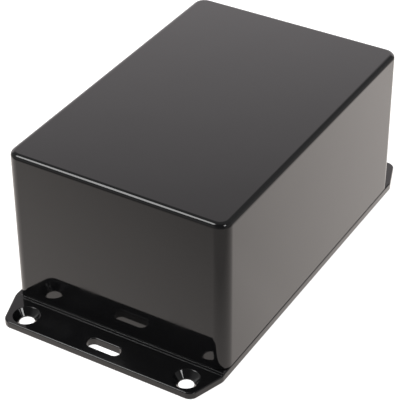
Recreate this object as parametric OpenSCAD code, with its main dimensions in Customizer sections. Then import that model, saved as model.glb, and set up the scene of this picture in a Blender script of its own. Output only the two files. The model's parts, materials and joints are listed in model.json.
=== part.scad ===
// Project box of moulded plastic, standing on its flanged lid.
//
// The underside of the lid is the plane z = 0, with the origin at its centre. X runs along the box
// and out through the two mounting flanges, Y runs across it, and Z points up to the closed face.
// The housing is open downwards and the lid closes it, held by four screws from below.

/* [Housing] */
// Length of the housing at its open rim
box_l = 120; // [100:1:160]
// Width of the housing at its open rim
box_w = 80; // [66:1:110]
// Height of the closed box, from the underside of the lid to the closed face
box_h = 59; // [36:1:80]
// Thickness of the side walls at the rim
wall_t = 2.3; // [1.8:0.1:3]
// Thickness of the closed face
face_t = 2.5; // [2:0.1:4]
// Radius of the upright corners at the rim
corner_r = 4.5; // [4:0.1:8]
// Radius of the edges round the closed face
face_edge_r = 1.8; // [1:0.1:2.5]
// Radius of the rim's outer edge, where it meets the lid
rim_edge_r = 0.4; // [0.2:0.05:0.6]
// Draft of the walls' outer faces, in degrees
outer_draft = 0.25; // [0.1:0.05:0.5]

/* [Inside of the housing] */
// Radius of the cavity's upright corners at the rim
cavity_corner_r = 2.4; // [2.2:0.1:4]
// Radius between the cavity's walls and the closed face
cavity_edge_r = 0.8; // [0.4:0.1:1]
// Draft of the walls' inner faces, in degrees
inner_draft = 0.4; // [0.2:0.05:0.5]
// Depth of each board guide, from the wall inwards
guide_depth = 1.8; // [1:0.1:2.5]
// Thickness of each rib of a board guide
guide_rib_t = 1.2; // [0.8:0.1:1.6]
// Gap between the two ribs of a guide, which takes the board's edge
guide_gap = 1.9; // [1.7:0.1:2.5]
// Board guides along each long wall
long_guides = 5; // [1:1:7]
// Board guides along each end wall
end_guides = 3; // [1:1:4]
// Diameter of the four board bosses on the closed face
boss_d = 6; // [5:0.5:8]
// Height of the board bosses
boss_h = 5; // [3:0.5:8]
// Bore of the board bosses, for a small self-tapping screw
boss_bore_d = 2.4; // [2:0.1:3]
// Distance of a board boss's axis from the end wall's outer face
boss_from_end = 19; // [17:0.5:25]
// Distance of a board boss's axis from the long wall's outer face
boss_from_side = 13; // [11:0.5:16]

/* [Corner posts] */
// Diameter of the screw posts
post_d = 8.4; // [7.4:0.1:10]
// Distance of a post's axis from the two outer faces of its corner
post_inset = 5.6; // [5.2:0.1:7]
// Bore that the lid screw cuts its thread in
pilot_d = 2.9; // [2.8:0.1:3.1]
// Depth of the bore from the rim
pilot_depth = 13.5; // [12:0.5:20]
// Gap left between a post and the lid, so that the rim seats first
post_gap = 0.2; // [0.1:0.05:0.5]

/* [Flanged lid] */
// Thickness of the lid under the housing
lid_t = 2.95; // [2.8:0.05:4]
// How far each mounting flange reaches past the housing
flange_reach = 13.5; // [12.5:0.5:20]
// Angle at which each flange narrows towards its end, in degrees
flange_taper = 19; // [5:1:25]
// Radius of the lid's corners, seen from above
flange_corner_r = 3.2; // [2:0.1:4]
// Radius of the lid's upper edge
lid_edge_r = 0.45; // [0.2:0.05:0.6]
// Radius of the lid's lower edge
lid_foot_r = 0.2; // [0.1:0.05:0.4]
// Width of the shallow ledge at the foot of each end wall
ledge_w = 0.95; // [0.6:0.05:2]
// Height of the step above the ledge, and of the step below it
ledge_drop = 0.15; // [0.1:0.05:0.3]
// How far the first step stands clear of the end wall
ledge_clear = 0.15; // [0.05:0.05:0.5]

/* [Lap joint] */
// Height of the lid's tongue inside the rim
tongue_h = 1.8; // [1:0.1:3]
// Thickness of the tongue
tongue_t = 1.2; // [0.8:0.1:1.4]
// Gap between the tongue and what it fits in: the walls and the posts
tongue_gap = 0.25; // [0.1:0.05:0.4]

/* [Mounting holes and slots] */
// Distance of a mounting hole's axis from the housing's end wall
hole_out = 7.75; // [6.5:0.25:8]
// Distance of a mounting hole's axis from the line of the long wall
hole_in = 9.5; // [9:0.25:14]
// Diameter of the mounting holes
hole_d = 5.1; // [4:0.1:5.5]
// Diameter of their countersink at the flange's top
hole_head_d = 9; // [8:0.1:9.4]
// Distance of a slot's centre line from the housing's end wall
slot_out = 8.05; // [7:0.05:8.5]
// Width of the slots
slot_w = 4.3; // [4.2:0.1:5]
// Length of the slots from end to end
slot_l = 12.4; // [10:0.1:20]
// Radius of the slots' upper edge
slot_edge_r = 0.35; // [0.2:0.05:0.5]

/* [Lid screws] */
// Diameter of the screw's head
head_d = 6.8; // [6.4:0.1:6.9]
// Diameter of the screw's core, inside its thread
core_d = 2.7; // [2.5:0.05:2.75]
// Length of the screw over all
screw_l = 12.7; // [9.5:0.1:14]
// Length of the screw's point
point_l = 2; // [1:0.5:3]
// Hole in the lid that the screw passes through
passage_d = 3.8; // [3.6:0.1:4.2]
// Diameter of the countersink in the lid's underside
recess_d = 7.3; // [7.2:0.1:7.6]
// Gap between the screw's head and its countersink
seat_gap = 0.05; // [0.02:0.01:0.08]
// Width of the cross recess's arms
cross_w = 0.9; // [0.6:0.1:1.1]
// Span of the cross recess at the head's face
cross_span = 3.6; // [3:0.1:4]
// Depth of the cross recess
cross_depth = 1.5; // [1:0.1:1.7]

/* [Hidden] */

$fn = 96;

// Included angle of every countersink: the standard one for inch-size screws
countersink = 82;
// How far a cut runs past the face that it opens
past = 1;

black = [0.07, 0.07, 0.075];
steel = [0.72, 0.73, 0.74];

// Half sizes and heights that several pieces share
end_x = box_l / 2;
side_y = box_w / 2;
cavity_x = end_x - wall_t;
cavity_y = side_y - wall_t;
cavity_top = box_h - face_t;
post_x = end_x - post_inset;
post_y = side_y - post_inset;
boss_x = end_x - boss_from_end;
boss_y = side_y - boss_from_side;
hole_x = end_x + hole_out;
hole_y = side_y - hole_in;

// The flange lies two small steps below the lid's upper face, with the ledge between them
ledge_z = lid_t - ledge_drop;
flange_t = ledge_z - ledge_drop;
land_x = end_x + ledge_clear;
ledge_x = land_x + ledge_w;
flange_x = end_x + flange_reach;
flange_y = side_y - (flange_x - ledge_x) * tan(flange_taper);

// The four places of one corner, mirrored over both middle planes, counter-clockwise
function four(x, y) = [[x, y], [-x, y], [-x, -y], [x, -y]];

function heading(a, b) = atan2(b.y - a.y, b.x - a.x);
function turn(before, after) = (after - before + 360) % 360;

// The centre that rounds corner i of a counter-clockwise outline to radius r
function corner_centre(outline, i, r) =
    let (
        n = len(outline),
        here = outline[i],
        before = heading(outline[(i + n - 1) % n], here),
        after = heading(here, outline[(i + 1) % n]),
        half = turn(before, after) / 2,
        inward = before + half + 90
    )
    here + r / cos(half) * [cos(inward), sin(inward)];
function corner_centres(outline, r) = [for (i = [0:len(outline) - 1]) corner_centre(outline, i, r)];

// Depth of a countersink that goes from one diameter down to a smaller one
function sink_depth(wide, narrow) = (wide - narrow) / 2 / tan(countersink / 2);

// The piece between corner i of a profile and the arc that rounds it
module corner_web(points, i, r) {
    n = len(points);
    here = points[i];
    to_last = heading(here, points[(i + n - 1) % n]);
    to_next = heading(here, points[(i + 1) % n]);
    opening = turn(to_next, to_last);
    half = (opening > 180 ? opening - 360 : opening) / 2;
    reach = r / abs(tan(half));
    centre = here + r / abs(sin(half)) * [cos(to_next + half), sin(to_next + half)];
    difference() {
        polygon([
            here,
            here + reach * [cos(to_next), sin(to_next)],
            centre,
            here + reach * [cos(to_last), sin(to_last)]
        ]);
        translate(centre)
            circle(r);
    }
}

// A counter-clockwise profile whose outer corners are rounded, each to its own radius (0: sharp)
module rounded_profile(points, radii) {
    difference() {
        polygon(points);
        for (i = [0:len(points) - 1])
            if (radii[i] > 0)
                corner_web(points, i, radii[i]);
    }
}

// Carries a section round an outline that is given by its corner centres, counter-clockwise.
// In the 2-D child, x is the distance out from the line through the centres and y is the height.
module sweep(centres) {
    n = len(centres);
    for (i = [0:n - 1]) {
        here = centres[i];
        next = centres[(i + 1) % n];
        before = heading(centres[(i + n - 1) % n], here);
        after = heading(here, next);
        translate([next.x, next.y, 0])
            rotate([90, 0, after - 90])
                linear_extrude(norm(next - here))
                    children();
        translate([here.x, here.y, 0])
            rotate(before - 90)
                rotate_extrude(angle = turn(before, after))
                    children();
    }
}

// A solid plate: the same sweep, with the space between the centres filled from z0 to z1
module plate(centres, z0, z1) {
    sweep(centres)
        children();
    translate([0, 0, z0])
        linear_extrude(z1 - z0)
            polygon(centres);
}

// The walls' radius from the corner centre, at a height above the rim
function drafted(r, height, draft) = r - height * tan(draft);

module housing_shell() {
    outer_h = box_h - lid_t;
    inner_h = cavity_top - lid_t;
    difference() {
        plate(four(end_x - corner_r, side_y - corner_r), lid_t, box_h)
            rounded_profile(
                [[0, lid_t], [corner_r, lid_t], [drafted(corner_r, outer_h, outer_draft), box_h], [0, box_h]],
                [0, rim_edge_r, face_edge_r, 0]
            );
        plate(four(cavity_x - cavity_corner_r, cavity_y - cavity_corner_r), lid_t - past, cavity_top)
            rounded_profile(
                [
                    [0, lid_t - past],
                    [drafted(cavity_corner_r, -past, inner_draft), lid_t - past],
                    [drafted(cavity_corner_r, inner_h, inner_draft), cavity_top],
                    [0, cavity_top]
                ],
                [0, 0, cavity_edge_r, 0]
            );
    }
}

module at_posts() {
    for (p = four(post_x, post_y))
        translate([p.x, p.y, 0])
            children();
}

// Board guides: pairs of ribs spread evenly over the stretch of wall between two posts.
// half_run is half of that stretch, and wall_face is the wall's inner face at the rim.
module guides(count, half_run, wall_face) {
    pitch = 2 * half_run / count;
    z0 = lid_t + tongue_h + 2 * tongue_gap;
    for (i = [0:count - 1])
        for (side = [-1, 1])
            translate([
                (i - (count - 1) / 2) * pitch + side * (guide_gap + guide_rib_t) / 2 - guide_rib_t / 2,
                wall_face - guide_depth,
                z0
            ])
                cube([guide_rib_t, guide_depth + wall_t / 2, cavity_top + face_t / 2 - z0]);
}

module housing() {
    post_z = lid_t + post_gap;
    color(black)
        difference() {
            union() {
                housing_shell();
                at_posts()
                    translate([0, 0, post_z])
                        cylinder(d = post_d, h = cavity_top + face_t / 2 - post_z);
                for (flip = [0, 180])
                    rotate(flip) {
                        guides(long_guides, post_x - post_d / 2, cavity_y);
                        rotate(90)
                            guides(end_guides, post_y - post_d / 2, cavity_x);
                    }
                for (p = four(boss_x, boss_y))
                    translate([p.x, p.y, cavity_top - boss_h])
                        cylinder(d = boss_d, h = boss_h + face_t / 2);
            }
            at_posts()
                translate([0, 0, lid_t])
                    cylinder(d = pilot_d, h = pilot_depth);
            for (p = four(boss_x, boss_y))
                translate([p.x, p.y, cavity_top - boss_h - past])
                    cylinder(d = boss_bore_d, h = boss_h + past);
        }
}

// The lid's whole outline, flanges included, as a plate with rounded edges up to the height top
module lid_plate(top) {
    outline = [
        [flange_x, -flange_y],
        [flange_x, flange_y],
        [ledge_x, side_y],
        [-ledge_x, side_y],
        [-flange_x, flange_y],
        [-flange_x, -flange_y],
        [-ledge_x, -side_y],
        [ledge_x, -side_y]
    ];
    hull()
        for (c = corner_centres(outline, flange_corner_r))
            translate([c.x, c.y, 0])
                rotate_extrude($fn = 32)
                    rounded_profile(
                        [[0, 0], [flange_corner_r, 0], [flange_corner_r, top], [0, top]],
                        [0, lid_foot_r, lid_edge_r, 0],
                        $fn = 32
                    );
}

// Section along the box of the two steps between the lid's upper face and the flanges
module step_section() {
    root = flange_t / 2;
    rounded_profile(
        [[-ledge_x, root], [ledge_x, root], [ledge_x, ledge_z], [-ledge_x, ledge_z]],
        [0, 0, ledge_drop, ledge_drop]
    );
    rounded_profile(
        [[-land_x, root], [land_x, root], [land_x, lid_t], [-land_x, lid_t]],
        [0, 0, ledge_drop, ledge_drop]
    );
}

// The ring that stands inside the housing's rim, open where the posts come down
module tongue() {
    outer_r = cavity_corner_r - tongue_gap;
    difference() {
        sweep(four(cavity_x - cavity_corner_r, cavity_y - cavity_corner_r))
            translate([outer_r - tongue_t, lid_t / 2])
                square([tongue_t, lid_t / 2 + tongue_h]);
        at_posts()
            translate([0, 0, lid_t])
                cylinder(d = post_d + 2 * tongue_gap, h = tongue_h + past);
    }
}

// Cuts a slot with a rounded upper edge out of the +X flange
module slot_cut() {
    x = end_x + slot_out;
    y = (slot_l - slot_w) / 2;
    r = slot_w / 2;
    sweep([[x, -y], [x, y]])
        difference() {
            polygon([
                [0, -past],
                [r, -past],
                [r, flange_t - slot_edge_r],
                [r + slot_edge_r, flange_t - slot_edge_r],
                [r + slot_edge_r, flange_t + past],
                [0, flange_t + past]
            ]);
            translate([r + slot_edge_r, flange_t - slot_edge_r])
                circle(slot_edge_r);
        }
}

module mounting_hole_cut() {
    depth = sink_depth(hole_head_d, hole_d);
    translate([0, 0, -past])
        cylinder(d = hole_d, h = flange_t + past);
    translate([0, 0, flange_t - depth])
        cylinder(d1 = hole_d, d2 = hole_head_d, h = depth);
    translate([0, 0, flange_t])
        cylinder(d = hole_head_d, h = past);
}

module screw_hole_cut() {
    translate([0, 0, -past])
        cylinder(d = recess_d, h = past);
    cylinder(d1 = recess_d, d2 = passage_d, h = sink_depth(recess_d, passage_d));
    cylinder(d = passage_d, h = lid_t + past);
}

module flanged_lid() {
    color(black)
        difference() {
            union() {
                lid_plate(flange_t);
                intersection() {
                    lid_plate(lid_t);
                    translate([0, box_w, 0])
                        rotate([90, 0, 0])
                            linear_extrude(2 * box_w)
                                step_section();
                }
                tongue();
            }
            for (flip = [0, 180])
                rotate(flip)
                    slot_cut();
            for (p = four(hole_x, hole_y))
                translate([p.x, p.y, 0])
                    mounting_hole_cut();
            at_posts()
                screw_hole_cut();
        }
}

// One countersunk self-tapping screw, head down, its head's face just inside the lid's underside
module lid_screw() {
    sunk = sink_depth(recess_d, head_d) - seat_gap / sin(countersink / 2);
    head_h = sink_depth(head_d, core_d);
    translate([0, 0, sunk])
        difference() {
            union() {
                cylinder(d1 = head_d, d2 = core_d, h = head_h);
                cylinder(d = core_d, h = screw_l - point_l);
                translate([0, 0, screw_l - point_l])
                    cylinder(d1 = core_d, d2 = core_d / 5, h = point_l);
            }
            intersection() {
                translate([0, 0, -cross_w])
                    cylinder(d1 = cross_span + cross_w, d2 = cross_w, h = cross_depth + cross_w);
                for (arm = [0, 90])
                    rotate(arm)
                        translate([-cross_span, -cross_w / 2, -past])
                            cube([2 * cross_span, cross_w, cross_depth + past]);
            }
        }
}

module lid_screws() {
    color(steel)
        at_posts()
            lid_screw();
}

housing();
flanged_lid();
lid_screws();
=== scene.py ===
"""Black plastic project box on a flanged lid: its looks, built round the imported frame."""

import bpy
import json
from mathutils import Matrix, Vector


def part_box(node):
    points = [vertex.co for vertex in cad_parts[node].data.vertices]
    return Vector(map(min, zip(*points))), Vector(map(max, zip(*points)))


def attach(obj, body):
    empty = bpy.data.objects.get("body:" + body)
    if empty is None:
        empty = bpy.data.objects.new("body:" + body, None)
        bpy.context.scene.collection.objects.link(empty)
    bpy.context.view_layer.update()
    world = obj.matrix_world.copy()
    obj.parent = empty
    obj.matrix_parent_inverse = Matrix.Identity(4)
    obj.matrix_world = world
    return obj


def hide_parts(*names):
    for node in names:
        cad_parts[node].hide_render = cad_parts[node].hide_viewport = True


bl_info = {
    "name": "Project Box with Flanged Lid",
    "version": (1, 0, 0),
    "blender": (4, 5, 0),
    "location": "View3D > Sidebar > Project Box",
    "description": "Models a moulded plastic project box, its flanged lid, its screws and a plain studio",
    "category": "Add Mesh",
}

import json
import math

import bmesh
import bpy
from bpy.props import FloatProperty, FloatVectorProperty, IntProperty, PointerProperty, StringProperty
from mathutils import Matrix, Vector

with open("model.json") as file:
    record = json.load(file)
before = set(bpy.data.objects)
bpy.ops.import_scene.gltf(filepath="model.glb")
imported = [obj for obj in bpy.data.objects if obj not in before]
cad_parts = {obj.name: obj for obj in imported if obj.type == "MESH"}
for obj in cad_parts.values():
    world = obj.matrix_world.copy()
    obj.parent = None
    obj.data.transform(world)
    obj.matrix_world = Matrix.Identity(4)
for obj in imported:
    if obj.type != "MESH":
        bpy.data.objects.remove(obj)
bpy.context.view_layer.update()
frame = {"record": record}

MM = 0.001
HAIR = 1e-6  # two heights closer than this are the same level
UP = (0, 0, 1)
COUNTERSINK_SLOPE = math.tan(math.radians(82 / 2))  # countersinks and screw heads have cones of 82 degrees


# ---------------------------------------------------------------- sizes and colours


def length(name, text, size):
    """A size in millimetres as a length property."""
    return FloatProperty(
        name=name, description=text, default=size * MM, min=0, precision=5, unit="LENGTH", subtype="DISTANCE"
    )


def angle(name, text, degrees):
    """An angle in degrees as a rotation property."""
    return FloatProperty(
        name=name, description=text, default=math.radians(degrees), unit="ROTATION", subtype="ANGLE"
    )


class HousingSizes(bpy.types.PropertyGroup):
    """Sizes of the moulded housing."""

    wall: length("Wall", "Thickness of the side walls at the rim", 2.3)
    face: length("Closed face", "Thickness of the closed face", 2.5)
    corner: length("Corner radius", "Radius of the upright corners at the rim", 4.5)
    face_edge: length("Face edge radius", "Radius of the edges round the closed face", 1.8)
    rim_edge: length("Rim edge radius", "Radius of the rim's outer edge", 0.5)
    draft: angle("Outer draft", "Draft of the walls' outer faces", 0.1)
    cavity_corner: length("Cavity corner radius", "Radius of the cavity's upright corners", 2.4)
    cavity_edge: length("Cavity edge radius", "Radius between the cavity's walls and the closed face", 0.8)
    cavity_draft: angle("Inner draft", "Draft of the walls' inner faces", 0.4)
    post: length("Post diameter", "Diameter of the screw posts", 8.4)
    post_gap: length("Post gap", "Gap left between a post and the lid", 0.2)
    pilot: length("Pilot bore", "Bore that the lid screw cuts its thread in", 2.9)
    pilot_depth: length("Pilot depth", "Depth of the bore from the rim", 13.5)
    guide_depth: length("Guide depth", "Depth of a board guide, from the wall inwards", 1.8)
    guide_rib: length("Guide rib", "Thickness of each rib of a board guide", 1.2)
    guide_gap: length("Guide gap", "Gap between the two ribs of a guide", 1.9)
    guide_foot: length("Guide foot", "Distance of the guides' feet from the rim", 2.3)
    long_guides: IntProperty(
        name="Long guides", description="Board guides along each long wall", default=5, min=1
    )
    end_guides: IntProperty(
        name="End guides", description="Board guides along each end wall", default=3, min=1
    )
    boss: length("Boss diameter", "Diameter of the board bosses", 6)
    boss_height: length("Boss height", "Height of the board bosses", 5)
    boss_bore: length("Boss bore", "Bore of the board bosses", 2.4)
    boss_from_end: length("Boss from end", "Distance of a boss from the end wall's outer face", 19)
    boss_from_side: length("Boss from side", "Distance of a boss from the long wall's outer face", 13)


class LidSizes(bpy.types.PropertyGroup):
    """Sizes of the flanged lid."""

    thickness: length("Lid thickness", "Thickness of the lid under the housing", 2.95)
    corner: length("Corner radius", "Radius of the lid's corners, seen from above", 3.2)
    taper: angle("Flange taper", "Angle at which each flange narrows towards its end", 19)
    top_edge: length("Upper edge radius", "Radius of the lid's upper edge", 0.45)
    foot_edge: length("Lower edge radius", "Radius of the lid's lower edge", 0.5)
    ledge: length("Ledge width", "Width of the shallow ledge at the foot of each end wall", 0.95)
    ledge_drop: length("Ledge step", "Height of the step above the ledge, and of the one below", 0.15)
    ledge_clear: length("Ledge clearance", "How far the first step stands clear of the end wall", 0.15)
    tongue: length("Tongue thickness", "Thickness of the tongue inside the rim", 1.2)
    tongue_gap: length("Tongue gap", "Gap between the tongue and what it fits in", 0.25)
    hole_head: length("Countersink", "Diameter of the mounting holes' countersink", 9)
    slot_width: length("Slot width", "Width of the slots", 4.3)
    slot_length: length("Slot length", "Length of the slots from end to end", 12.4)
    slot_edge: length("Slot edge radius", "Radius of the slots' upper edge", 0.35)
    passage: length("Screw passage", "Hole that a lid screw passes through", 3.8)
    recess: length("Screw countersink", "Diameter of the countersinks in the underside", 7.3)


class ScrewSizes(bpy.types.PropertyGroup):
    """Sizes of the lid screws."""

    head: length("Head diameter", "Diameter of the screw's head", 6.8)
    core: length("Core diameter", "Diameter of the screw inside its thread", 2.7)
    crest: length("Thread diameter", "Diameter over the thread's crests", 3.4)
    pitch: length("Thread pitch", "Rise of the thread in one turn", 1.3)
    point: length("Point length", "Length of the screw's point", 2)
    arm: length("Recess arm", "Width of the cross recess's arms", 0.9)
    span: length("Recess span", "Span of the cross recess at the head's face", 3.6)
    depth: length("Recess depth", "Depth of the cross recess", 1.5)


class FinishColours(bpy.types.PropertyGroup):
    """Colours of the finishes, as sRGB hex."""

    abs_black: StringProperty(name="ABS", description="Body colour of the black plastic", default="#101011")
    zinc: StringProperty(name="Zinc", description="Colour of the zinc plating", default="#c3c6ca")
    paper: StringProperty(name="Paper", description="Colour of the studio floor", default="#e8e8e8")


class StudioSettings(bpy.types.PropertyGroup):
    """Where the camera stands."""

    lens: FloatProperty(name="Lens", description="Focal length", default=141.31, unit="CAMERA")
    azimuth: angle("Azimuth", "Camera azimuth; 0 looks along +Y", -59.11)
    elevation: angle("Elevation", "Camera elevation above the horizon", 35.284)
    roll: angle("Roll", "Camera roll", -0.345)
    distance: length("Distance", "Distance of the camera from its target", 527.778)
    target: FloatVectorProperty(
        name="Target", description="Point that the camera looks at", default=(-0.010038, -0.001388, 0.025),
        unit="LENGTH", subtype="TRANSLATION", precision=5,
    )


# ---------------------------------------------------------------- small helpers


def add_node(tree, kind, inputs=(), **settings):
    """Adds a node, sets its properties, and sets or links its inputs, given as (socket, value) pairs."""
    made = tree.nodes.new(kind)
    for key, value in settings.items():
        setattr(made, key, value)
    for key, value in inputs:
        if isinstance(value, bpy.types.NodeSocket):
            tree.links.new(value, made.inputs[key])
        else:
            made.inputs[key].default_value = value
    return made


def linear(hex_colour):
    """An sRGB hex colour as linear RGBA."""
    parts = [int(hex_colour[i : i + 2], 16) / 255 for i in (1, 3, 5)]
    return (*[p / 12.92 if p <= 0.04045 else ((p + 0.055) / 1.055) ** 2.4 for p in parts], 1)


def ramp(tree, value, start, end, low, high):
    """A node value that goes from low to high while another goes from start to end."""
    made = add_node(
        tree, "ShaderNodeMapRange",
        [("Value", value), ("From Min", start), ("From Max", end), ("To Min", low), ("To Max", high)],
    )
    return made.outputs["Result"]


def calculate(tree, operation, a, b):
    """The sum or product of two node values."""
    return add_node(tree, "ShaderNodeMath", [(0, a), (1, b)], operation=operation).outputs[0]


def four(x, y):
    """The four places of one corner, mirrored over both middle planes."""
    return [(x, y), (-x, y), (-x, -y), (x, -y)]


def towards_camera(studio):
    """The direction from the box to the camera."""
    level = math.cos(studio.elevation)
    return Vector(
        (math.sin(studio.azimuth) * level, -math.cos(studio.azimuth) * level, math.sin(studio.elevation))
    )


def at_level(bm, z):
    """The edges that lie wholly at height z."""
    return [e for e in bm.edges if all(abs(v.co.z - z) < HAIR for v in e.verts)]


def round_edges(bm, edges, radius, segments):
    """Bevels edges to a radius."""
    bmesh.ops.bevel(
        bm, geom=edges, offset=radius, offset_type="OFFSET", segments=segments, profile=0.5,
        affect="EDGES", clamp_overlap=False, material=-1,
    )


def round_corners(bm, corners, reach, segments):
    """Rounds corners of a flat face, from reach before each to reach after it, and returns the face."""
    made = bmesh.ops.bevel(
        bm, geom=corners, offset=reach, offset_type="OFFSET", segments=segments, profile=0.5,
        affect="VERTICES", clamp_overlap=False, material=-1,
    )
    return made["verts"][0].link_faces[0]


def rounded_outline(bm, half_x, half_y, z, radius, segments):
    """A flat face at height z: a rectangle with rounded corners, looking up."""
    verts = bmesh.ops.create_grid(bm, x_segments=1, y_segments=1, size=1)["verts"]
    bmesh.ops.scale(bm, vec=(half_x, half_y, 1), verts=verts)
    bmesh.ops.translate(bm, vec=(0, 0, z), verts=verts)
    return round_corners(bm, verts, radius, segments)


def bridge_ring(bm, outer, inner):
    """Fills the flat ring between two loops; the inner one is lifted meanwhile, to give it a direction."""
    verts = list({v for e in inner for v in e.verts})
    bmesh.ops.translate(bm, vec=(0, 0, MM), verts=verts)
    bmesh.ops.bridge_loops(bm, edges=outer + inner)
    bmesh.ops.translate(bm, vec=(0, 0, -MM), verts=verts)


def raise_face(bm, face, inset, rise):
    """Carries a face up by rise and in by inset, and leaves walls behind it."""
    bmesh.ops.inset_region(
        bm, faces=[face], thickness=inset, depth=rise, use_boundary=True, use_even_offset=True
    )


def turn_upright(bm, verts, degrees):
    """Turns vertices round the Z axis."""
    bmesh.ops.rotate(bm, cent=(0, 0, 0), matrix=Matrix.Rotation(math.radians(degrees), 3, "Z"), verts=verts)


def lathe(bm, profile, steps=48, place=(0, 0)):
    """Spins a closed profile of (radius, height) points round an upright axis at place."""
    verts = [bm.verts.new((place[0] + r, place[1], z)) for r, z in profile]
    on_axis = {v for v, (r, z) in zip(verts, profile) if r == 0}
    edges = [bm.edges.new((a, b)) for a, b in zip(verts, verts[1:] + verts[:1]) if not {a, b} <= on_axis]
    before = set(bm.verts) - set(verts)
    bmesh.ops.spin(
        bm, geom=verts + edges, cent=(*place, 0), axis=UP, dvec=(0, 0, 0), angle=math.tau,
        steps=steps, use_merge=True,
    )
    bmesh.ops.remove_doubles(bm, verts=[v for v in bm.verts if v not in before], dist=HAIR)
    loose = [e for e in bm.edges if not e.link_faces]
    bmesh.ops.delete(bm, geom=loose, context="EDGES")


def into_mesh(bm, name):
    """Turns a closed bmesh into an object whose faces look outwards."""
    bmesh.ops.recalc_face_normals(bm, faces=bm.faces[:])
    mesh = bpy.data.meshes.new(name)
    bm.to_mesh(mesh)
    bm.free()
    made = bpy.data.objects.new(name, mesh)
    bpy.context.scene.collection.objects.link(made)
    return made


def freeze(obj):
    """Bakes an object's modifiers into its mesh."""
    evaluated = obj.evaluated_get(bpy.context.evaluated_depsgraph_get())
    baked = bpy.data.meshes.new_from_object(evaluated)
    old = obj.data
    obj.modifiers.clear()
    obj.data = baked
    baked.name = obj.name
    bpy.data.meshes.remove(old)


def combine(obj, operation, bm):
    """Joins the solids in a bmesh to an object, or cuts them out of it."""
    tool = into_mesh(bm, "tool")
    step = obj.modifiers.new(operation.title(), "BOOLEAN")
    step.operation = operation
    step.solver = "EXACT"
    step.object = tool
    freeze(obj)
    mesh = tool.data
    bpy.data.objects.remove(tool)
    bpy.data.meshes.remove(mesh)


def dress(obj, material, node_name, crease=32):
    clean = bmesh.new()
    clean.from_mesh(obj.data)
    bmesh.ops.remove_doubles(clean, verts=clean.verts[:], dist=HAIR)
    bmesh.ops.dissolve_degenerate(clean, edges=clean.edges[:], dist=HAIR)
    open_edges = [e for e in clean.edges if not e.is_manifold]
    if open_edges:
        raise RuntimeError(f"{obj.name} has {len(open_edges)} open edges")
    clean.to_mesh(obj.data)
    clean.free()
    obj.data.shade_smooth()
    obj.data.set_sharp_from_angle(angle=math.radians(crease))
    weigh = obj.modifiers.new("Flat faces stay flat", "WEIGHTED_NORMAL")
    weigh.mode = "FACE_AREA"
    weigh.weight = 100
    weigh.keep_sharp = True
    freeze(obj)
    obj.data.materials.clear()
    obj.data.materials.append(material)
    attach(obj, "root")
    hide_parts(node_name)


# ---------------------------------------------------------------- finishes


def moulded_abs(name, colour, grain_seed):
    """ABS moulded in a polished mould.

    To the eye it is deep black with a sharp, slightly uneven gloss: the walls dish a little where they
    cooled, the polish is faintly streaked along the draw of the mould, and handling leaves soft smears.
    """
    material = bpy.data.materials.new(name)
    material.use_nodes = True
    tree = material.node_tree
    tree.nodes.clear()
    place = add_node(tree, "ShaderNodeTexCoord").outputs["Object"]
    shift = add_node(
        tree, "ShaderNodeMapping", [("Vector", place), ("Location", (grain_seed, grain_seed * 0.7, 0))]
    ).outputs["Vector"]
    # Walls that dish as they cool: hollows about 30 mm across and some hundredths of a millimetre deep
    dish = add_node(tree, "ShaderNodeTexNoise", [("Vector", shift), ("Scale", 33), ("Detail", 1)])
    dish_bump = add_node(
        tree, "ShaderNodeBump", [("Height", dish.outputs["Fac"]), ("Distance", 0.04 * MM), ("Strength", 1)]
    )
    # Polish streaks along the draw of the mould, about 1 mm apart and long in Z
    draw = add_node(tree, "ShaderNodeMapping", [("Vector", shift), ("Scale", (1000, 1000, 25))])
    streak = add_node(
        tree, "ShaderNodeTexNoise", [("Vector", draw.outputs["Vector"]), ("Scale", 1), ("Detail", 2)]
    )
    streak_bump = add_node(
        tree, "ShaderNodeBump",
        [
            ("Height", streak.outputs["Fac"]), ("Distance", 0.0022 * MM), ("Strength", 1),
            ("Normal", dish_bump.outputs["Normal"]),
        ],
    )
    # Soft smears of handling, some 15 mm across, that haze the gloss
    smear = add_node(
        tree, "ShaderNodeTexNoise", [("Vector", shift), ("Scale", 60), ("Detail", 3), ("Roughness", 0.55)]
    )
    haze = ramp(tree, smear.outputs["Fac"], start=0.5, end=0.75, low=0.05, high=0.14)
    shader = add_node(
        tree, "ShaderNodeBsdfPrincipled",
        [
            ("Base Color", linear(colour)), ("Roughness", haze), ("IOR", 1.54),
            ("Normal", streak_bump.outputs["Normal"]),
        ],
    )
    add_node(tree, "ShaderNodeOutputMaterial", [("Surface", shader.outputs["BSDF"])])
    return material


def zinc_plated_steel(colour):
    """Steel wire, cold-headed and zinc plated: a bright, slightly cloudy metal with a fine tumbled grain."""
    material = bpy.data.materials.new("Zinc_plated_steel_cold_headed")
    material.use_nodes = True
    tree = material.node_tree
    tree.nodes.clear()
    place = add_node(tree, "ShaderNodeTexCoord").outputs["Object"]
    # Spangle of the plating, about 0.5 mm across
    cloud = add_node(tree, "ShaderNodeTexNoise", [("Vector", place), ("Scale", 2000), ("Detail", 2)])
    rough = ramp(tree, cloud.outputs["Fac"], start=0.3, end=0.7, low=0.22, high=0.4)
    # Tumbling marks, drawn at 0.15 mm, coarser than the real ones so that they show
    nick = add_node(tree, "ShaderNodeTexNoise", [("Vector", place), ("Scale", 6500), ("Detail", 2)])
    bump = add_node(
        tree, "ShaderNodeBump", [("Height", nick.outputs["Fac"]), ("Distance", 0.004 * MM), ("Strength", 1)]
    )
    shader = add_node(
        tree, "ShaderNodeBsdfPrincipled",
        [
            ("Base Color", linear(colour)), ("Metallic", 1), ("Roughness", rough),
            ("Normal", bump.outputs["Normal"]),
        ],
    )
    add_node(tree, "ShaderNodeOutputMaterial", [("Surface", shader.outputs["BSDF"])])
    return material


# ---------------------------------------------------------------- pieces


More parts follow.
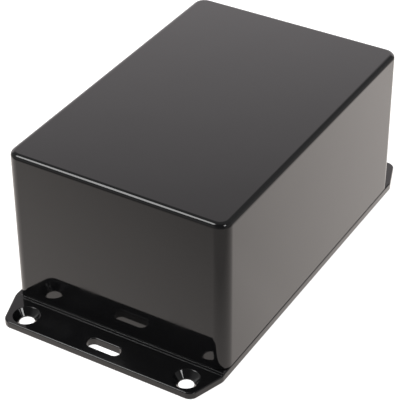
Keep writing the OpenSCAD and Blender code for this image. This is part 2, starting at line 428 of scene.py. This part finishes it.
class BOX_OT_housing(bpy.types.Operator):
    """Models the moulded housing, with its posts, board guides and bosses"""

    bl_idname = "projectbox.housing"
    bl_label = "Add Housing"

    def execute(self, context):
        s = context.scene.project_housing
        low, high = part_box("housing")
        half_x, half_y = high.x, high.y
        inner_x, inner_y = half_x - s.wall, half_y - s.wall
        rise = high.z - low.z
        ceiling = high.z - s.face

        bm = bmesh.new()
        face = rounded_outline(bm, half_x, half_y, low.z, s.corner, 20)
        raise_face(bm, face, rise * math.tan(s.draft), rise)
        round_edges(bm, list(face.edges), s.face_edge, 12)
        bmesh.ops.edgeloop_fill(bm, edges=[e for e in bm.edges if e.is_boundary])
        round_edges(bm, at_level(bm, low.z), s.rim_edge, 5)
        foot = next(f for f in bm.faces if all(abs(v.co.z - low.z) < HAIR for v in f.verts))
        rim = list(foot.edges)
        bmesh.ops.delete(bm, geom=[foot], context="FACES_ONLY")
        roof = rounded_outline(bm, inner_x, inner_y, low.z, s.cavity_corner, 20)
        raise_face(bm, roof, (ceiling - low.z) * math.tan(s.cavity_draft), ceiling - low.z)
        round_edges(bm, list(roof.edges), s.cavity_edge, 4)
        bridge_ring(bm, rim, [e for e in bm.edges if e.is_boundary and e not in rim])
        housing = into_mesh(bm, "housing_moulded")

        # Posts, bosses and guides reach into the closed face, so that they join it without a seam
        post_root = ceiling + s.face / 2
        boss_root, bore_end = ceiling + s.face * 0.6, ceiling + s.face * 0.3
        posts = four(*self.post_axes())
        ends = bmesh.new()
        for x, y in posts:
            lathe(
                ends,
                [
                    (0, post_root), (s.post / 2, post_root),
                    (s.post / 2, low.z + s.post_gap), (s.pilot / 2, low.z + s.post_gap),
                    (s.pilot / 2, low.z + s.pilot_depth), (0, low.z + s.pilot_depth),
                ],
                place=(x, y),
            )
        for x, y in four(half_x - s.boss_from_end, half_y - s.boss_from_side):
            lathe(
                ends,
                [
                    (0, boss_root), (s.boss / 2, boss_root),
                    (s.boss / 2, ceiling - s.boss_height), (s.boss_bore / 2, ceiling - s.boss_height),
                    (s.boss_bore / 2, bore_end), (0, bore_end),
                ],
                place=(x, y),
            )
        self.add_guides(ends, s, s.long_guides, posts[0][0] - s.post / 2, inner_y, low.z, ceiling, 0)
        self.add_guides(ends, s, s.end_guides, posts[0][1] - s.post / 2, inner_x, low.z, ceiling, 90)
        combine(housing, "UNION", ends)
        black = context.scene.project_finish.abs_black
        finish = moulded_abs("ABS_black_polish_moulded_housing", black, grain_seed=0.31)
        dress(housing, finish, "housing")
        return {"FINISHED"}

    @staticmethod
    def post_axes():
        """Where the posts stand: on the axes of the lid screws."""
        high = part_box("lid_screws")[1]
        head = bpy.context.scene.project_screws.head / 2
        return high.x - head, high.y - head

    @staticmethod
    def add_guides(bm, s, count, half_run, wall_face, rim, ceiling, turn):
        """Pairs of ribs spread evenly over the stretch of wall between two posts, on both sides."""
        foot = rim + s.guide_foot
        depth = s.guide_depth + s.wall / 2
        tall = ceiling + s.face / 2 - foot
        for i in range(count):
            middle = (i - (count - 1) / 2) * 2 * half_run / count
            for side in (-1, 1):
                along = middle + side * (s.guide_gap + s.guide_rib) / 2
                for flip in (0, 180):
                    made = bmesh.ops.create_cube(bm, size=1)["verts"]
                    bmesh.ops.scale(bm, vec=(s.guide_rib, depth, tall), verts=made)
                    bmesh.ops.translate(
                        bm, vec=(along, wall_face - s.guide_depth + depth / 2, foot + tall / 2), verts=made
                    )
                    turn_upright(bm, made, turn + flip)


class BOX_OT_lid(bpy.types.Operator):
    """Models the flanged lid, with its countersunk holes, slots, ledges and tongue"""

    bl_idname = "projectbox.lid"
    bl_label = "Add Flanged Lid"

    def execute(self, context):
        s = context.scene.project_lid
        low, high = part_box("flanged_lid")
        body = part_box("housing")[1]
        land = body.x + s.ledge_clear
        waist = land + s.ledge
        flange_y = body.y - (high.x - waist) * math.tan(s.taper)
        flange_top = s.thickness - 2 * s.ledge_drop

        bm = bmesh.new()
        outline = [(high.x, flange_y), (waist, body.y), (-waist, body.y), (-high.x, flange_y)]
        outline += [(-x, -y) for x, y in outline]
        face = bm.faces.new([bm.verts.new((x, y, low.z)) for x, y in outline])
        for corners, turn, steps in (
            ([v for v in face.verts if abs(v.co.x) > waist + HAIR], math.pi / 2 - s.taper, 14),
            ([v for v in face.verts if abs(v.co.x) < waist + HAIR], s.taper, 5),
        ):
            face = round_corners(bm, corners, s.corner * math.tan(turn / 2), steps)
        face.normal_update()
        if face.normal.z < 0:
            face.normal_flip()
        raise_face(bm, face, 0, s.thickness)
        round_edges(bm, list(face.edges), s.top_edge, 8)
        foot = [e for e in bm.edges if e.is_boundary]
        bmesh.ops.edgeloop_fill(bm, edges=foot)
        round_edges(bm, foot, s.foot_edge, 4)
        self.step_down(bm, s, land, waist)
        lid = into_mesh(bm, "flanged_lid_moulded")

        combine(lid, "UNION", self.tongue(s, body, high.z))
        combine(lid, "DIFFERENCE", self.cutters(s, flange_top))
        black = context.scene.project_finish.abs_black
        finish = moulded_abs("ABS_black_polish_moulded_lid", black, grain_seed=0.74)
        dress(lid, finish, "flanged_lid")
        return {"FINISHED"}

    @staticmethod
    def step_down(bm, s, land, waist):
        """Sinks the flanges by two small steps with rounded lips."""
        drop = s.ledge_drop
        lip = drop * 0.6  # radius of the lip above each step
        upright = 0.01 * MM  # run of the step's upright, which is all but vertical
        arcs = 5
        for step_x in (land, waist):
            cuts = [step_x - lip + lip * math.sin(i / arcs * math.pi / 2) for i in range(arcs + 1)]
            for side in (-1, 1):
                for x in cuts + [step_x + upright]:
                    bmesh.ops.bisect_plane(
                        bm, geom=bm.verts[:] + bm.edges[:] + bm.faces[:], plane_co=(side * x, 0, 0),
                        plane_no=(1, 0, 0), dist=HAIR / 10,
                    )
        for v in bm.verts:
            if v.co.z > s.thickness / 2:
                for step_x in (land, waist):
                    over = abs(v.co.x) - (step_x - lip)
                    if over > lip + HAIR:
                        v.co.z -= drop
                    elif over > 0:
                        over = min(over, lip)
                        v.co.z -= lip - math.sqrt(max(lip * lip - over * over, 0))

    @staticmethod
    def tongue(s, body, top):
        """The ring that stands inside the housing's rim, open where the posts come down."""
        housing = bpy.context.scene.project_housing
        half_x = body.x - housing.wall - s.tongue_gap
        half_y = body.y - housing.wall - s.tongue_gap
        radius = housing.cavity_corner - s.tongue_gap
        root = s.thickness / 2
        ring = bmesh.new()
        face = rounded_outline(ring, half_x, half_y, root, radius, 8)
        raise_face(ring, face, 0, top - root)
        raise_face(ring, face, s.tongue, 0)
        raise_face(ring, face, 0, root - top)
        outer = [e for e in ring.edges if e.is_boundary]
        inner = list(face.edges)
        bmesh.ops.delete(ring, geom=[face], context="FACES_ONLY")
        bridge_ring(ring, outer, inner)
        made = into_mesh(ring, "tongue")
        gaps = bmesh.new()
        wide = housing.post / 2 + s.tongue_gap
        plug = [(0, s.thickness), (wide, s.thickness), (wide, top + MM), (0, top + MM)]
        for x, y in four(*BOX_OT_housing.post_axes()):
            lathe(gaps, plug, place=(x, y))
        combine(made, "DIFFERENCE", gaps)
        cut = bmesh.new()
        cut.from_mesh(made.data)
        mesh = made.data
        bpy.data.objects.remove(made)
        bpy.data.meshes.remove(mesh)
        return cut

    @staticmethod
    def cutters(s, flange_top):
        """Everything that is cut out of the lid: mounting holes, slots and the holes for its screws."""
        past = 1 * MM
        record = frame["record"]
        mount = next(m for m in record["mounts"] if m["name"] == "mounting_holes")["dims"]
        tools = bmesh.new()
        hole, head, lip = mount["hole_r_mm"] * MM, s.hole_head / 2, 0.12 * MM
        cone = (head - hole) / COUNTERSINK_SLOPE
        for x, y in four(mount["spacing_x_mm"] / 2 * MM, mount["spacing_y_mm"] / 2 * MM):
            lathe(
                tools,
                [
                    (0, -past), (hole, -past), (hole, flange_top - cone),
                    (head - lip, flange_top - lip / COUNTERSINK_SLOPE), (head, flange_top - lip * 0.3),
                    (head + lip, flange_top), (head + 2 * lip, flange_top + past), (0, flange_top + past),
                ],
                place=(x, y), steps=64,
            )
        narrow, wide = s.passage / 2, s.recess / 2
        for x, y in four(*BOX_OT_housing.post_axes()):
            lathe(
                tools,
                [
                    (0, -past), (wide, -past), (wide, 0), (narrow, (wide - narrow) / COUNTERSINK_SLOPE),
                    (narrow, s.thickness + past), (0, s.thickness + past),
                ],
                place=(x, y), steps=64,
            )
        for opening in record["physics"]["openings"]:
            if opening["name"].startswith("flange_slot"):
                middle = (opening["box_m"][0][0] + opening["box_m"][1][0]) / 2
                BOX_OT_lid.slot_cutter(tools, s, middle, flange_top, past)
        return tools

    @staticmethod
    def slot_cutter(bm, s, middle, flange_top, past):
        """A round-ended bar that flares at the flange's top, made upside down and then turned over."""
        closed = set(bm.edges)
        edge = s.slot_edge
        segments = 64
        half_step = Matrix.Rotation(math.pi / segments, 4, "Z")
        verts = bmesh.ops.create_circle(
            bm, cap_ends=True, radius=s.slot_width / 2 + edge, segments=segments,
            matrix=Matrix.Translation((0, 0, -flange_top - past)) @ half_step,
        )["verts"]
        for v in verts:
            v.co.y += math.copysign((s.slot_length - s.slot_width) / 2, v.co.y)
        face = verts[0].link_faces[0]
        face.normal_update()
        if face.normal.z < 0:
            face.normal_flip()
        raise_face(bm, face, 0, past)
        arcs = 6
        steps = [i / arcs * math.pi / 2 for i in range(arcs + 1)]
        for a, b in zip(steps, steps[1:]):
            raise_face(bm, face, edge * (math.sin(b) - math.sin(a)), edge * (math.cos(a) - math.cos(b)))
        raise_face(bm, face, 0, flange_top - edge + past)
        bmesh.ops.edgeloop_fill(bm, edges=[e for e in bm.edges if e.is_boundary and e not in closed])
        new = list({v for e in bm.edges if e not in closed for v in e.verts})
        bmesh.ops.rotate(bm, cent=(0, 0, 0), matrix=Matrix.Rotation(math.pi, 3, "Y"), verts=new)
        bmesh.ops.translate(bm, vec=(middle, 0, 0), verts=new)


class BOX_OT_screws(bpy.types.Operator):
    """Models the four countersunk self-tapping screws that hold the lid"""

    bl_idname = "projectbox.screws"
    bl_label = "Add Lid Screws"

    def execute(self, context):
        s = context.scene.project_screws
        low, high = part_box("lid_screws")
        head, core = s.head / 2, s.core / 2
        neck = (head - core) / COUNTERSINK_SLOPE
        tip = high.z - low.z
        bm = bmesh.new()
        # A head with a rounded rim, a fillet under it, a straight core and a blunt point
        lathe(
            bm,
            [
                (0, 0), (head - 0.12 * MM, 0), (head - 0.03 * MM, 0.04 * MM), (head, 0.14 * MM),
                (core + 0.25 * MM, neck - 0.1 * MM), (core + 0.08 * MM, neck + 0.1 * MM),
                (core, neck + 0.4 * MM), (core, tip - s.point), (core * 0.2, tip), (0, tip),
            ],
        )
        screw = into_mesh(bm, "lid_screws_threaded")
        combine(screw, "UNION", self.thread(s, neck, tip))
        for turn in (0, 90):
            combine(screw, "DIFFERENCE", self.recess_arm(s, turn))
        one = bmesh.new()
        one.from_mesh(screw.data)
        pattern = one.verts[:] + one.edges[:] + one.faces[:]
        driven = (0, 25, 63, 41)  # how far round each screw came to rest, in degrees
        for turn, (x, y) in zip(driven, four(*BOX_OT_housing.post_axes())):
            copy = bmesh.ops.duplicate(one, geom=pattern)["geom"]
            verts = [g for g in copy if isinstance(g, bmesh.types.BMVert)]
            turn_upright(one, verts, turn)
            bmesh.ops.translate(one, vec=(x, y, low.z), verts=verts)
        spent = [g for g in pattern if isinstance(g, bmesh.types.BMVert)]
        bmesh.ops.delete(one, geom=spent, context="VERTS")
        one.to_mesh(screw.data)
        one.free()
        finish = zinc_plated_steel(context.scene.project_finish.zinc)
        dress(screw, finish, "lid_screws", crease=40)
        return {"FINISHED"}

    @staticmethod
    def thread(s, neck, tip):
        """The thread: a ridge wound round the core, from below the head to the point."""
        sunk = 0.08 * MM  # how deep the ridge's foot lies inside the core
        core, crest, pitch = s.core / 2 - sunk, s.crest / 2, s.pitch
        start, end = neck + 0.5 * MM, tip - 0.6 * MM
        turns = (end - start) / pitch
        steps = 24
        bm = bmesh.new()
        foot, crown = 0.22, 0.04  # half the ridge's width at its foot and its crest, in pitches
        ridge = [(core, -foot), (crest, -crown), (crest, crown), (core, foot)]
        verts = [bm.verts.new((r, 0, start + z * pitch)) for r, z in ridge]
        face = bm.faces.new(verts)
        bmesh.ops.spin(
            bm, geom=[face, *face.edges, *verts], cent=(0, 0, 0), axis=UP, dvec=(0, 0, pitch / steps),
            angle=math.tau * turns, steps=round(turns * steps), use_merge=False,
        )
        # The ridge rises out of the core over its first 0.8 pitches and narrows with the point
        for v in bm.verts:
            run_in = min(1, (v.co.z - start + 0.3 * pitch) / (0.8 * pitch))
            over = v.co.z - (tip - s.point)
            run_out = max(0, over / s.point)
            reach = math.hypot(v.co.x, v.co.y)
            level = core + (reach - core) * max(run_in, 0)
            level *= 1 - 0.8 * run_out
            v.co.x *= level / reach
            v.co.y *= level / reach
        return bm

    @staticmethod
    def recess_arm(s, turn):
        """One arm of the cross that a driver fits, tapered towards its depth."""
        bm = bmesh.new()
        verts = bmesh.ops.create_cube(bm, size=1)["verts"]
        bmesh.ops.scale(bm, vec=(s.span + s.arm, s.arm, 2 * s.depth), verts=verts)
        deep = [v for v in verts if v.co.z > 0]
        narrowed = (0.32, 0.6, 1)
        bmesh.ops.scale(bm, vec=narrowed, verts=deep)
        turn_upright(bm, verts, turn)
        return bm


# ---------------------------------------------------------------- studio


class BOX_OT_studio(bpy.types.Operator):
    """Sets the floor, the backdrop, the lamps, the world and the camera"""

    bl_idname = "projectbox.studio"
    bl_label = "Add Studio"

    def execute(self, context):
        self.world(context.scene)
        self.floor(context.scene)
        self.backdrop(context.scene)
        self.lamps(context.scene)
        self.camera(context.scene)
        context.scene.view_settings.view_transform = "Standard"
        return {"FINISHED"}

    @staticmethod
    def world(scene):
        """White to the camera, a dim studio to what is glossy, and a plain soft fill to everything."""
        world = bpy.data.worlds.new("Studio")
        scene.world = world
        world.use_nodes = True
        tree = world.node_tree
        tree.nodes.clear()
        path = add_node(tree, "ShaderNodeLightPath")
        way = add_node(tree, "ShaderNodeTexCoord").outputs["Generated"]
        up = add_node(tree, "ShaderNodeSeparateXYZ", [("Vector", way)]).outputs["Z"]
        walls = ramp(tree, up, start=0, end=0.6, low=0.42, high=0.27)
        # The side where the camera stands is darker than the rest
        turn = add_node(
            tree, "ShaderNodeVectorMath", [(0, way), (1, towards_camera(scene.project_studio))],
            operation="DOT_PRODUCT",
        )
        shade = ramp(tree, turn.outputs["Value"], start=0.55, end=0.9, low=1, high=0.25)
        fill = add_node(tree, "ShaderNodeBackground", [("Strength", 0.6)])
        studio = add_node(
            tree, "ShaderNodeBackground", [("Strength", calculate(tree, "MULTIPLY", walls, shade))]
        )
        white = add_node(tree, "ShaderNodeBackground", [("Strength", 1)])
        for background in (fill, studio, white):
            background.inputs["Color"].default_value = (1, 1, 1, 1)
        first = add_node(
            tree, "ShaderNodeMixShader",
            [(0, path.outputs["Is Glossy Ray"]), (1, fill.outputs[0]), (2, studio.outputs[0])],
        )
        second = add_node(
            tree, "ShaderNodeMixShader",
            [(0, path.outputs["Is Camera Ray"]), (1, first.outputs[0]), (2, white.outputs[0])],
        )
        add_node(tree, "ShaderNodeOutputWorld", [("Surface", second.outputs[0])])

    @staticmethod
    def sheet(scene, name, size, matrix, seen, painted_glow_strength, glow_tint):
        """Stage paper: lit by the lamps and lifted by seen to the camera; to gloss it shows a painted glow of
        the given strength and tint in place of lit paper.
        """
        bm = bmesh.new()
        bmesh.ops.create_grid(bm, x_segments=1, y_segments=1, size=1)
        bmesh.ops.scale(bm, vec=(size[0] / 2, size[1] / 2, 1), verts=bm.verts[:])
        bm.transform(matrix)
        mesh = bpy.data.meshes.new(name)
        bm.to_mesh(mesh)
        bm.free()
        made = bpy.data.objects.new(name, mesh)
        scene.collection.objects.link(made)
        material = bpy.data.materials.new(name + "_paper_painted_glow")
        material.use_nodes = True
        tree = material.node_tree
        tree.nodes.clear()
        path = add_node(tree, "ShaderNodeLightPath")
        place = add_node(tree, "ShaderNodeTexCoord").outputs["Object"]
        paper = add_node(tree, "ShaderNodeBsdfDiffuse", [("Color", linear(scene.project_finish.paper))])
        lift = calculate(tree, "MULTIPLY", path.outputs["Is Camera Ray"], seen)
        glow = add_node(tree, "ShaderNodeEmission", [("Strength", lift)])
        direct = add_node(tree, "ShaderNodeAddShader", [(0, paper.outputs[0]), (1, glow.outputs[0])])
        # Painted light: glossy rays see an emission of painted glow here instead of the lit paper
        painted_glow_shader = add_node(
            tree, "ShaderNodeEmission", [("Color", linear(glow_tint)), ("Strength", painted_glow_strength(tree, place))]
        )
        surface = add_node(
            tree, "ShaderNodeMixShader",
            [(0, path.outputs["Is Glossy Ray"]), (1, direct.outputs[0]), (2, painted_glow_shader.outputs[0])],
        )
        add_node(tree, "ShaderNodeOutputMaterial", [("Surface", surface.outputs[0])])
        made.data.materials.append(material)

    def floor(self, scene):
        """A pale floor that reads white and keeps the object's shadow, and to gloss shows a painted pool of
        light, not lit paper.
        """
        studio = scene.project_studio
        towards = (math.sin(studio.azimuth), -math.cos(studio.azimuth), 0)
        clear = 0.05 * MM

        def painted_fall_off(tree, place):
            """Painted pool of light seen in reflections: brightest behind the box, darker towards the camera,
            and fading out all round.
            """
            reach = add_node(
                tree, "ShaderNodeVectorMath", [(0, place), (1, towards)], operation="DOT_PRODUCT"
            ).outputs["Value"]
            radius = add_node(tree, "ShaderNodeVectorMath", [(0, place)], operation="LENGTH").outputs["Value"]
            near = ramp(tree, reach, start=0.04, end=0.12, low=1.16, high=0.52)
            far = ramp(tree, reach, start=-0.07, end=0.03, low=0.45, high=0)
            pool = ramp(tree, radius, start=0.18, end=0.4, low=1, high=0.25)
            return calculate(tree, "MULTIPLY", calculate(tree, "ADD", near, far), pool)

        matrix = Matrix.Translation((0, 0, -clear))
        # Warm tint and strength of the floor's painted pool of light, seen only by gloss
        self.sheet(scene, "floor", (6, 6), matrix, seen=0.75, painted_glow_strength=painted_fall_off, glow_tint="#fff7f2")

    def backdrop(self, scene):
        """A pale card behind the box, opposite the camera, that shows gloss a painted glow which falls off
        upwards.
        """

        def painted_fall_off(tree, place):
            # Painted glow for reflections, brightest low on the card and fading upwards
            split = add_node(tree, "ShaderNodeSeparateXYZ", [("Vector", place)])
            return ramp(tree, split.outputs["Z"], start=0.45, end=0.95, low=1.55, high=0.6)

        away = 1.1
        height = 1.05
        turn = Matrix.Rotation(scene.project_studio.azimuth, 4, "Z")
        matrix = turn @ Matrix.Translation((0, away, height / 2)) @ Matrix.Rotation(math.pi / 2, 4, "X")
        # Tint and strength of the backdrop's painted glow, seen only by gloss
        self.sheet(scene, "backdrop", (2.6, height), matrix, seen=0.5, painted_glow_strength=painted_fall_off, glow_tint="#fff9fb")

    @staticmethod
    def softbox(scene, name, size, radiance, direction):
        """A square soft lamp of a given brightness, at arm's length from the box and facing it."""
        distance = 1.25
        light = bpy.data.lights.new(name, "AREA")
        light.shape = "SQUARE"
        light.size = size
        light.energy = radiance * math.pi * size * size
        made = bpy.data.objects.new(name, light)
        way = Vector(direction).normalized()
        made.location = way * distance
        made.rotation_mode = "QUATERNION"
        made.rotation_quaternion = way.to_track_quat("Z", "Y")
        scene.collection.objects.link(made)

    def lamps(self, scene):
        """One softbox that draws the end wall's upper edge, and one that lights the near corner."""
        self.softbox(scene, "left_softbox", size=0.48, radiance=7, direction=(-0.42, 0.45, 0.79))
        self.softbox(scene, "right_softbox", size=0.3, radiance=8, direction=(-0.24, -0.69, 0.68))

    @staticmethod
    def camera(scene):
        """A long lens on the box."""
        s = scene.project_studio
        data = bpy.data.cameras.new("Camera")
        data.sensor_width = 36
        data.lens = s.lens
        data.clip_start = 0.01
        data.clip_end = 20
        made = bpy.data.objects.new("Camera", data)
        back = towards_camera(s)
        made.location = Vector(s.target) + back * s.distance
        right = Vector((math.cos(s.azimuth), math.sin(s.azimuth), 0))
        up = back.cross(right)
        axes = Matrix((right, up, back)).transposed()
        made.rotation_mode = "QUATERNION"
        made.rotation_quaternion = (axes @ Matrix.Rotation(s.roll, 3, "Z")).to_quaternion()
        scene.collection.objects.link(made)
        scene.camera = made


class BOX_PT_sidebar(bpy.types.Panel):
    """Lists the operators that build the box and its studio"""

    bl_idname = "BOX_PT_sidebar"
    bl_label = "Project Box"
    bl_space_type = "VIEW_3D"
    bl_region_type = "UI"
    bl_category = "Project Box"

    def draw(self, context):
        for operator in OPERATORS:
            self.layout.operator(operator.bl_idname)


OPERATORS = (BOX_OT_studio, BOX_OT_housing, BOX_OT_lid, BOX_OT_screws)
SETTINGS = {
    "project_housing": HousingSizes,
    "project_lid": LidSizes,
    "project_screws": ScrewSizes,
    "project_finish": FinishColours,
    "project_studio": StudioSettings,
}


def register():
    for group in SETTINGS.values():
        bpy.utils.register_class(group)
    for name, group in SETTINGS.items():
        setattr(bpy.types.Scene, name, PointerProperty(type=group))
    for cls in (*OPERATORS, BOX_PT_sidebar):
        bpy.utils.register_class(cls)


def unregister():
    for cls in reversed((*OPERATORS, BOX_PT_sidebar)):
        bpy.utils.unregister_class(cls)
    for name in SETTINGS:
        delattr(bpy.types.Scene, name)
    for group in reversed(SETTINGS.values()):
        bpy.utils.unregister_class(group)


def main():
    register()
    bpy.ops.projectbox.studio()
    bpy.ops.projectbox.housing()
    bpy.ops.projectbox.lid()
    bpy.ops.projectbox.screws()


if __name__ == "__main__":
    main()
